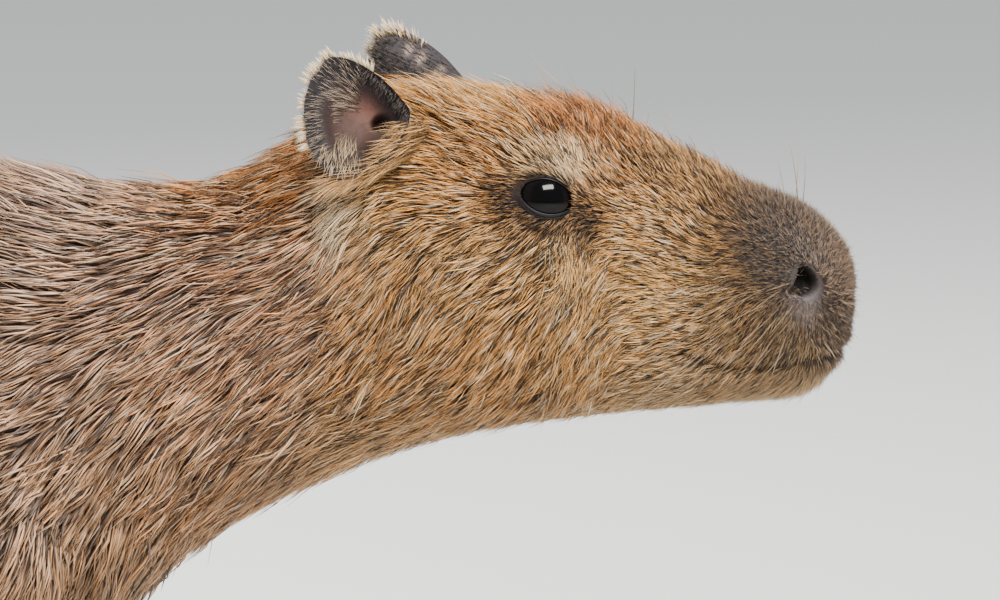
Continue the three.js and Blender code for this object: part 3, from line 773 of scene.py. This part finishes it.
def coat_tints(coat, roots, locks, lock_groove_shade, bent, seed, rng):
    """Colours along each hair: dark root, tip in its place's colour, some hairs dark or pale, and painted shade on
    hairs at the edges of locks.
    """
    count = len(roots)
    lock_shade = rng.uniform(0.78, 1.18, count)
    shade = rng.uniform(0.80, 1.18, (count, 1)) * (1 + 0.08 * wander(roots, 120, seed + 2))[:, None]
    shade = shade * lock_shade[locks][:, None]
    warm = rng.random((count, 1)) ** 1.5 * np.array([0.0, 0.24, 0.55])
    dark = rng.random(count) < coat["dark"] + 0.03
    root_tint = coat["root"] * rng.uniform(0.6, 1.0, (count, 1))
    tip_tint = coat["tip"] * shade * (1.03 - warm)
    pale = (rng.random(count) < 0.24) * 0.75 * np.clip((coat["tip"][:, 0] - 0.6) / 0.3, 0, 1)
    tip_tint = blend(tip_tint, (1.0, 0.84, 0.58), pale[:, None])
    tip_tint[dark] = root_tint[dark] * 1.3
    # Painted shade: hairs at a lock's edge, where the grooves between locks fall, are darker at tip and middle.
    tip_tint = tip_tint * (1 - 0.35 * lock_groove_shade)
    if not bent:
        return np.stack([root_tint * 0.85 + tip_tint * 0.15, tip_tint], 1)
    middle_tint = root_tint * 0.5 + tip_tint * 0.5 * (1 - 0.3 * lock_groove_shade)
    return np.stack([root_tint, middle_tint, tip_tint], 1)


def grow_coat(name, field, count, where, material, seed, sunk, clump, bent=True):
    """Hair on the skin where the weight is above 0: bent or straight strands whose tips meet in locks."""
    rng = np.random.default_rng(seed)
    denser = 1 / np.maximum(coat_at(field.middle)["length"], 3) ** 0.9
    roots, normals = field.draw(count, where(from_nose(field.middle), field.middle), denser, rng)
    keep = haired(roots)
    roots, normals = roots[keep], normals[keep]
    count = len(roots)
    coat = coat_at(roots)
    lie = coat_lie(coat, roots, normals)
    sway = 0.20 * rng.normal(size=count) + 0.28 * wander(roots, 60, seed) + 0.14 * wander(roots, 260, seed + 1)
    lie = lie * np.cos(sway)[:, None] + np.cross(normals, lie) * np.sin(sway)[:, None]
    length = coat["length"] * rng.uniform(0.65, 1.25, count) * MM
    length *= np.where(rng.random(count) < (0.06 if bent else 0.02), 1.7, 1.0)
    stand = coat["stand"] * rng.uniform(0.55, 1.3, count)
    height = (length * stand)[:, None]
    reach = (length * np.sqrt(np.maximum(0.1, 1 - stand**2)))[:, None]
    base = roots - normals * sunk * MM
    middle = roots + lie * reach * 0.5 + normals * height * 0.68
    tip = roots + lie * reach + normals * height
    every = 9 if bent else 6
    tree = tree_of(roots[::every])
    locks = np.array([tree.find(spot)[1] for spot in roots]) * every
    apart = np.linalg.norm(roots - roots[locks], axis=1)
    pull = clump * np.clip(1 - apart / (length * 0.8), 0, 1)[:, None]
    tip = tip * (1 - pull) + tip[locks] * pull
    middle = middle * (1 - pull * 0.5) + middle[locks] * pull * 0.5
    # Painted shade: how far a hair lies from its lock's middle, which darkens it for the shade in the grooves between
    # locks.
    lock_groove_shade = np.clip(apart / (np.median(apart) * 1.9), 0, 1)[:, None] ** 2
    clear = outside_cups(middle) & outside_cups(tip)
    paths = np.stack([base, middle, tip] if bent else [base, tip], 1)
    paths[:, :, 2] = np.maximum(paths[:, :, 2], 0.5 * MM)
    half = coat["width"] * rng.uniform(0.7, 1.25, count) * MM / 2
    wide = np.stack([half, half * 0.8], 1) if bent else half[:, None]
    tints = coat_tints(coat, roots, locks, lock_groove_shade, bent, seed, rng)
    parts = (paths, wide, wide * 0.55, normals, tints, unrolled(roots))
    strands(name, *(part[clear] for part in parts), material)


def span(value, start, end, soft):
    """1 between start and end, with soft ends that two neighbours share."""
    rise = np.clip((value - start + soft) / (2 * soft), 0, 1)
    return rise * np.clip((end + soft - value) / (2 * soft), 0, 1)


# The coat's pieces, by how far back they start and end, and how soft the ends are
HEAD_PARTS = {"front": (55, 117, 7), "rear": (117, 233, 15)}
TRUNK_PARTS = {"shoulders": (338, 525, 12), "flanks": (525, 725, 12), "rump": (725, 1000, 12)}


def add_coat(field):
    hair = tinted_finish("coarse_hair", 0.38, 0.32, 300, 0, 0.12)
    grow_coat("coat_muzzle", field, 38000, lambda w, p: span(w[:, 0], -50, 55, 5), hair, 11, 0.4, 0.15, False)
    for part, (start, end, soft) in HEAD_PARTS.items():
        for name, side in SIDES.items():
            grow_coat(
                f"coat_{part}_{name}", field, 19000,
                lambda w, p: span(w[:, 0], start, end, soft) * (p[:, 1] * side > -0.5 * MM),
                hair, 21 + side + start, 0.6, 0.55,
            )
    grow_coat("coat_neck", field, 19000, lambda w, p: span(w[:, 0], 233, 338, 16), hair, 31, 1.0, 0.65)
    for name, (start, end, soft) in TRUNK_PARTS.items():
        grow_coat(
            f"coat_{name}", field, 27000,
            lambda w, p: span(w[:, 0], start, end, soft) * (w[:, 2] > LEG_TOP - 10),
            hair, start, 1.5, 0.4, False,
        )
    grow_coat("coat_legs", field, 26000, lambda w, p: w[:, 2] <= LEG_TOP, hair, 71, 0.8, 0.25, False)


# Ears
# The cup: its outline forward and up from its middle, its depth, and where its canal opens, in mm
EAR_OUTLINE = [
    (23, 0), (20.5, 8), (13.5, 17), (3, 24.5), (-8, 27), (-16, 21), (-21.5, 10), (-23, -4), (-20, -16),
    (-12, -25), (2, -23), (15, -14),
]
EAR_CUP = 14
EAR_CANAL = (10.0, -0.5)


def ear_axes(side):
    """Outward look of the cup, forward along its face, and up along its face."""
    look = Vector((0.3, side * 0.85, 0.4)).normalized()
    lean = Vector((-0.06, 0, 1))
    up = (lean - look * look.dot(lean)).normalized()
    fore = up.cross(look)
    return look, fore if fore.x > 0 else -fore, up


def ear_centre(side):
    return place(198, side * 55, 76)


def in_ear(points, side):
    """Forward, up and outward from the middle of an ear cup, in mm."""
    look, fore, up = arrays(ear_axes(side))
    away = (points - np.array(ear_centre(side))) / MM
    return away @ fore, away @ up, away @ look


def ear_rim(turn):
    """A smooth closed line through the outline's points."""
    count = len(EAR_OUTLINE)
    at = (turn / math.tau % 1) * count
    k, t = int(at) % count, at % 1
    return [
        b + 0.5 * t * (c - a + t * (2 * a - 5 * b + 4 * c - d + t * (3 * (b - c) + d - a)))
        for a, b, c, d in zip(*(EAR_OUTLINE[(k + i) % count] for i in (-1, 0, 1, 2)))
    ]


def ear_point(side, turn, r, face):
    look, fore, up = ear_axes(side)
    x, y = ear_rim(turn)
    front_top = max(0.0, math.cos(turn - 0.75))
    rear = max(0.0, -math.cos(turn - 0.5))
    bowl = -EAR_CUP * (1 - r**2.2)
    fold = 6 * front_top * r**5
    ridges = 2.2 * rear * math.exp(-(((r - 0.62) / 0.13) ** 2)) + 0.5 * math.sin(turn * 3 + 5 * r) * r * (1 - r) * 4
    ridges += 1.6 * math.exp(-(((turn - 5.2) / 0.5) ** 2) - ((r - 0.6) / 0.16) ** 2)
    notch = 1.3 * math.exp(-(((turn - 2.55) / 0.12) ** 2)) + 0.9 * math.exp(-(((turn - 3.6) / 0.1) ** 2))
    shrink = r - notch * 0.03 * r**6
    half = (1.4 + 0.9 * front_top * r**3) * math.sqrt(max(0.0, 1 - r**5))
    across = x * shrink - fold * 0.5
    tall = y * shrink - fold * 0.4
    canal = math.exp(-((math.hypot(across - EAR_CANAL[0], tall - EAR_CANAL[1]) / 3.4) ** 4))
    deep = bowl + fold * 0.7 + ridges - 6 * canal
    return ear_centre(side) + (fore * across + up * tall + look * (deep + face * half)) * MM


def ear_tint(side, x, y, r, inner):
    """Dark rims, a brown-pink cup, painted shade that blackens the canal and the groove below it, and a grey back with
    pale spots on the left.
    """
    if not inner:
        tint = np.array((0.030, 0.026, 0.028))
        for spot in ((9, 16), (16, 9), (4, 20)):
            pale = math.exp(-(math.hypot(x - spot[0], y - spot[1]) / 1.6) ** 2) * (side > 0)
            tint = blend(tint, (0.30, 0.22, 0.18), 0.8 * pale)
        return tint
    rim = min(1.0, max(0.0, r - 0.40) / 0.35)
    tint = blend(np.array((0.034, 0.020, 0.017)), (0.018, 0.016, 0.018), rim)
    pink = math.exp(-(math.hypot(x - 5, y - 6) / 8) ** 2) * (1 - rim)
    tint = blend(tint, (0.082, 0.038, 0.029), pink)
    # Painted shade: the canal and the groove below it darken almost to black.
    black = math.exp(-((math.hypot(x - EAR_CANAL[0], y - EAR_CANAL[1]) / 3.8) ** 4))
    black = max(black, 0.85 * math.exp(-(((x - 4) / 4) ** 2) - ((y + 17) / 8) ** 2))
    return tint * (1 - 0.95 * black)


def add_ear(name, side, material):
    bm = bmesh.new()
    bmesh.ops.create_uvsphere(bm, u_segments=96, v_segments=72, radius=1)
    layer = bm.verts.layers.float_color.new("tint")
    for vert in bm.verts:
        turn = math.atan2(vert.co.y, vert.co.x) % math.tau
        face = 1 if vert.co.z > 0 else -1
        r = min(1.0, math.hypot(vert.co.x, vert.co.y)) ** 0.8
        x, y = ear_rim(turn)
        vert[layer] = (*ear_tint(side, x * r, y * r, r, face > 0), 1)
        vert.co = ear_point(side, turn, r, face)
    bmesh.ops.recalc_face_normals(bm, faces=bm.faces)
    ear = finish_piece(f"ear_cup_{name}", bm, material)
    settle(ear, "ear_skin", f"ear_{name}")


# Hairs of the ear by kind: width in mm, colour at the root and at the tip
EAR_HAIRS = {
    "bristle": (0.42, (0.34, 0.24, 0.15), (1.0, 0.80, 0.54)),
    "fine": (0.20, (0.07, 0.05, 0.04), (0.55, 0.43, 0.31)),
    "tuft": (0.30, (0.12, 0.08, 0.055), (0.74, 0.55, 0.34)),
    "edge": (0.40, (0.020, 0.016, 0.016), (0.085, 0.065, 0.055)),
    "guard": (0.42, (0.30, 0.16, 0.07), (1.0, 0.57, 0.23)),
    "back": (0.36, (0.025, 0.021, 0.021), (0.11, 0.09, 0.075)),
}


def add_ear_hair(name, side, material):
    """Bristles on the rim, fine hairs and a tuft in the cup, guard hairs in front, and a short dark back."""
    rng = np.random.default_rng(80 + side)
    look, fore, up = ear_axes(side)
    rows = []

    def sprout(kind, turn, r, face, aim, length, tones=(1, 1), shift=Vector()):
        width, *tints = EAR_HAIRS[kind]
        tints = [[part * tone for part in tint] for tint, tone in zip(tints, tones)]
        rows.append((ear_point(side, turn, r, face) + shift, aim.normalized(), length, width, *tints))

    for _ in range(75):
        middle, lean = rng.uniform(1.2, 4.0), rng.uniform(-0.35, 0.35)
        long = rng.uniform(4.5, 9.5)
        for _ in range(7):
            turn = middle + rng.normal() * 0.022
            x, y = ear_rim(turn)
            out = (fore * x + up * y).normalized()
            aim = out * 0.85 - fore * 0.2 + look * (0.15 + lean) + up * (0.15 + lean * 0.5)
            sprout("bristle", turn, rng.uniform(0.92, 0.99), -1, aim, long * rng.uniform(0.6, 1))
    for _ in range(400):
        turn, r = rng.uniform(1.3, 4.4), rng.uniform(0.25, 0.93)
        x, y = ear_rim(turn)
        aim = fore * (x * r - 13) + up * (y * r - 1)
        aim = aim.normalized() + look * (1.28 * r**1.2 + rng.uniform(0.05, 0.3)) + up * rng.uniform(-0.3, 0.1)
        sprout("fine", turn, r, 1, aim, rng.uniform(5, 12))
    for _ in range(120):
        turn, r = rng.uniform(4.0, 5.1), rng.uniform(0.15, 0.85)
        aim = look * (1.28 * r**1.2 + rng.uniform(0.1, 0.5)) - up - fore * rng.uniform(0, 0.8)
        sprout("tuft", turn, r, 1, aim, rng.uniform(7, 17))
    for _ in range(420):
        turn, r = rng.uniform(-0.7, 1.5), rng.uniform(0.80, 0.99)
        face = 1 if rng.random() < 0.5 else -1
        aim = up * rng.uniform(-0.9, -0.2) - fore * 0.4 + look * 0.25
        sprout("edge", turn, r, face, aim, rng.uniform(2, 4.5))
    for _ in range(560):
        turn = 4.7 + 1.55 * rng.random() ** 1.15
        aim = look * rng.uniform(0.15, 0.55) - up * rng.uniform(-0.15, 0.6) - fore * rng.uniform(0.8, 1.2)
        tone, length = rng.uniform(0.25, 1.1), rng.uniform(8, 20)
        shift = (fore * rng.uniform(-1, 9) - look * rng.uniform(2.5, 8)) * MM
        sprout("guard", turn, 1.0, -1, aim, length, (tone, tone), shift)
    for _ in range(1000):
        turn, r = rng.uniform(0, math.tau), rng.uniform(0.25, 0.97) ** 0.7
        aim = up * 0.8 - fore * 0.4 - look * rng.uniform(0.1, 0.35)
        tone = rng.uniform(0.6, 1.5)
        sprout("back", turn, r, -1, aim, rng.uniform(2.5, 6), (1, tone))
    roots, aims, length, width, root_tint, tip_tint = arrays(zip(*rows))
    length = length[:, None] * MM
    half = width * MM / 2
    sag = np.array([0, 0, -0.12])
    paths = np.stack([roots - aims * 0.4 * MM, roots + aims * length * 0.5, roots + (aims + sag) * length], 1)
    wide = np.stack([half, half * 0.75], 1)
    pale = rng.uniform(0.75, 1.2, (len(rows), 1))
    root_tint, tip_tint = root_tint * pale, tip_tint * pale
    tints = np.stack([root_tint, (root_tint + tip_tint) / 2, tip_tint], 1)
    outward = np.tile(np.array(look), (len(rows), 1))
    chart = 0.5 + np.stack(in_ear(roots, side)[:2], 1) / 70
    strands(f"ear_hair_{name}", paths, wide, wide * 0.7, outward, tints, np.clip(chart, 0.002, 0.995), material)


# Whiskers
# Long hairs above eye and nose: root, aim forward, outward and up, and length
BROW_HAIRS = [
    ((94, 22, 66), (0.05, 0.10, 1.0), 42),
    ((86, 24, 62), (0.35, 0.25, 0.9), 26),
    ((90, 14, 67), (0.25, 0.05, 1.0), 24),
    ((130, 30, 74), (-0.35, 0.15, 0.9), 34),
    ((25, 14, 38), (-0.05, 0.10, 1.0), 36),
    ((22, 10, 38), (0.12, 0.05, 1.0), 34),
    ((118, 40, 66), (-0.3, 0.5, 0.8), 38),
    ((112, 42, 62), (-0.1, 0.7, 0.6), 34),
]


def add_whiskers(field, material):
    """Long hairs above eye and nose, whiskers on the lip pads, and bristles on the nose."""
    rng = np.random.default_rng(90)
    rows = []
    for side in SIDES.values():
        for (back, out, height), (forward, outward, rise), length in BROW_HAIRS:
            rows.append((place(back, side * out, height), Vector((forward, side * outward, rise)), length, 0.46))
        for row in range(5):
            for step in range(7):
                root = place(16 + step * 6.5 + row, side * 36, 8 - row * 6.5 + rng.uniform(-1, 1))
                forward = -0.35 - 0.08 * step + rng.uniform(-0.1, 0.25)
                aim = Vector((forward, side, -0.15 - 0.12 * row + rng.uniform(-0.15, 0.2)))
                rows.append((root, aim, rng.uniform(16, 30) + step * 4.5, 0.34))
        for _ in range(260):
            root = place(rng.uniform(0, 30), side * rng.uniform(1, 34), rng.uniform(-26, 40))
            aim = root - place(34, 0, -2)
            rows.append((root, aim.normalized() + Vector((0.1, 0, -0.15)), rng.uniform(3.5, 7.5), 0.32))
    roots, aims, length, thick = zip(*rows)
    tree = tree_of(field.spots)
    found = [tree.find(root) for root in roots]
    roots = np.array([np.array(spot) - MM * field.normals[index] for spot, index, _ in found])
    aims = np.array([aim.normalized() for aim in aims])
    length = np.array(length)[:, None] * MM
    bend = unit(np.array([-0.6, 0, -0.5]) + 0.25 * rng.normal(size=(len(rows), 3)))
    steps = [0, 0.2, 0.4, 0.6, 0.8, 1.0]
    paths = np.stack([roots + aims * length * t + bend * length * 0.16 * t * t for t in steps], 1)
    half = np.array(thick)[:, None] * MM / 2
    wide = half * np.array([1.0, 0.9, 0.75, 0.6, 0.42])[None]
    tone = rng.uniform(0.7, 1.2, (len(rows), 1))
    start = np.array((0.10, 0.07, 0.05)) * tone
    finish = np.array((0.30, 0.21, 0.13)) * tone
    tints = np.stack([start * (1 - t) + finish * t for t in steps], 1)
    up = unit(np.cross(aims, np.array([0.3, 0.2, 0.9])))
    chart = np.stack([np.linspace(0.01, 0.98, len(rows)), np.full(len(rows), 0.5)], 1)
    strands("whiskers", paths, wide, wide, up, tints, chart, material, sides=4)


# Claws
def add_claws(material):
    nodes = [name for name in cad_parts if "_claw_" in name]
    bm = bmesh.new()
    for node in nodes:
        bm.from_mesh(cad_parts[node].data)
    bmesh.ops.remove_doubles(bm, verts=bm.verts, dist=WELD)
    bmesh.ops.subdivide_edges(bm, edges=bm.edges, cuts=2, use_grid_fill=True)
    for _ in range(3):
        bmesh.ops.smooth_vert(bm, verts=bm.verts, factor=0.4, use_axis_x=True, use_axis_y=True, use_axis_z=True)
    claws = finish_piece("claws", bm, material)
    settle(claws, "horn", *nodes)


def horn_finish():
    material, tree, shader = new_finish("dark_horn", 0.42)
    coords = new_node(tree, "TexCoord")
    stretch = new_node(tree, "Mapping", Scale=(60, 900, 900))
    grain = new_node(tree, "TexNoise", Scale=1.0)
    colour = new_node(tree, "ValToRGB")
    colour.color_ramp.elements[0].color = (0.022, 0.016, 0.013, 1)
    colour.color_ramp.elements[1].color = (0.11, 0.085, 0.065, 1)
    lift = new_node(tree, "Bump", Strength=0.3, Distance=0.3 * MM)
    wire(
        tree,
        (coords, "Object", stretch, "Vector"),
        (stretch, "Vector", grain, "Vector"),
        (grain, "Fac", colour, "Fac"),
        (colour, "Color", shader, "Base Color"),
        (grain, "Fac", lift, "Height"),
        (lift, "Normal", shader, "Normal"),
    )
    return material


add_camera()
add_studio()
field = SkinField(add_skin())
add_coat(field)
rim_skin = plain_finish("lid_rim_skin", (0.0045, 0.0042, 0.0055), 0.40, 0.16)
ear_skin = tinted_finish("ear_skin", 0.65, 0.12, 700, 0.4)
pale_hair = tinted_finish("pale_hair", 0.45, 0.35, 300, 0, 0.1)
for side_name, side_sign in SIDES.items():
    add_eye(side_name, side_sign)
    add_lid_rim(side_name, side_sign, rim_skin)
    add_ear(side_name, side_sign, ear_skin)
    add_ear_hair(side_name, side_sign, pale_hair)
add_whiskers(field, pale_hair)
add_claws(horn_finish())
